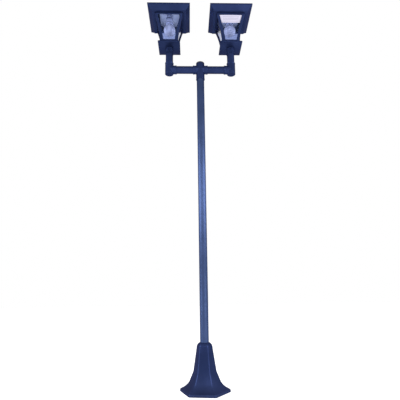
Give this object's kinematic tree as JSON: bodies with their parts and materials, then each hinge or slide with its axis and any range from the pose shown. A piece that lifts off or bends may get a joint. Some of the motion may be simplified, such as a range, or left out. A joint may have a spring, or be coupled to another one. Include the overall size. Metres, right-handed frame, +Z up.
{
  "type": "garden lamp post",
  "caption": "Garden lamp post: a round mast on a hexagonal bell foot, with a cross-arm of tube fittings that carries square tapered glass lanterns under hipped roofs.",
  "frame": {"origin": "on the ground at the mast's axis, which is the bottom centre of the whole", "axes": "+Z up the mast; X along the cross-arm, with +X towards the lantern on the right as seen from the front; +Y away from the viewer"},
  "size_m": [0.597, 0.241, 2.136],
  "materials": {
    "paint": "dark blue paint, satin, slightly worn",
    "plug": "black moulded plastic",
    "glass": "clear flat glass",
    "reflector": "white enamel",
    "holder": "white, ribbed",
    "bulb": "opal white"
  },
  "bodies": {
    "post": {"ground_flange": "paint", "mast_tube": "paint"},
    "bell": {"bell_cover": "paint"},
    "cross_arm": {"tee": "paint", "tee_plug": "plug", "arm_left": "paint", "arm_right": "paint", "elbow_left": "paint", "elbow_right": "paint", "riser_left": "paint", "riser_right": "paint"},
    "lantern_left": {"base_left": "paint", "body_left": "paint", "glass_front_left": "glass", "glass_back_left": "glass", "glass_inner_left": "glass", "glass_outer_left": "glass"},
    "hood_left": {"roof_left": "paint", "reflector_left": "reflector", "holder_left": "holder"},
    "lamp_left": {"bulb_left": "bulb"},
    "lantern_right": {"base_right": "paint", "body_right": "paint", "glass_front_right": "glass", "glass_back_right": "glass", "glass_inner_right": "glass", "glass_outer_right": "glass"},
    "hood_right": {"roof_right": "paint", "reflector_right": "reflector", "holder_right": "holder"},
    "lamp_right": {"bulb_right": "bulb"}
  },
  "joints": [
    {"name": "bell_lift", "type": "slide", "parent": "post", "child": "bell", "axis": [0, 0, 1], "range_m": [0, 1.4]},
    {"name": "arm_turn", "type": "hinge", "parent": "post", "child": "cross_arm", "pos_m": [0, 0, 1.668], "axis": [0, 0, 1], "range_deg": [-180, 180]},
    {"name": "lantern_turn_left", "type": "hinge", "parent": "cross_arm", "child": "lantern_left", "pos_m": [-0.178, 0, 1.836], "axis": [0, 0, 1], "range_deg": [-180, 180]},
    {"name": "lantern_turn_right", "type": "hinge", "parent": "cross_arm", "child": "lantern_right", "pos_m": [0.178, 0, 1.836], "axis": [0, 0, 1], "range_deg": [-180, 180]},
    {"name": "roof_lift_left", "type": "slide", "parent": "lantern_left", "child": "hood_left", "axis": [0, 0, 1], "range_m": [0, 0.16]},
    {"name": "roof_lift_right", "type": "slide", "parent": "lantern_right", "child": "hood_right", "axis": [0, 0, 1], "range_m": [0, 0.16]},
    {"name": "bulb_out_left", "type": "slide", "parent": "hood_left", "child": "lamp_left", "axis": [0, 0, -1], "range_m": [0, 0.03]},
    {"name": "bulb_out_right", "type": "slide", "parent": "hood_right", "child": "lamp_right", "axis": [0, 0, -1], "range_m": [0, 0.03]}
  ]
}
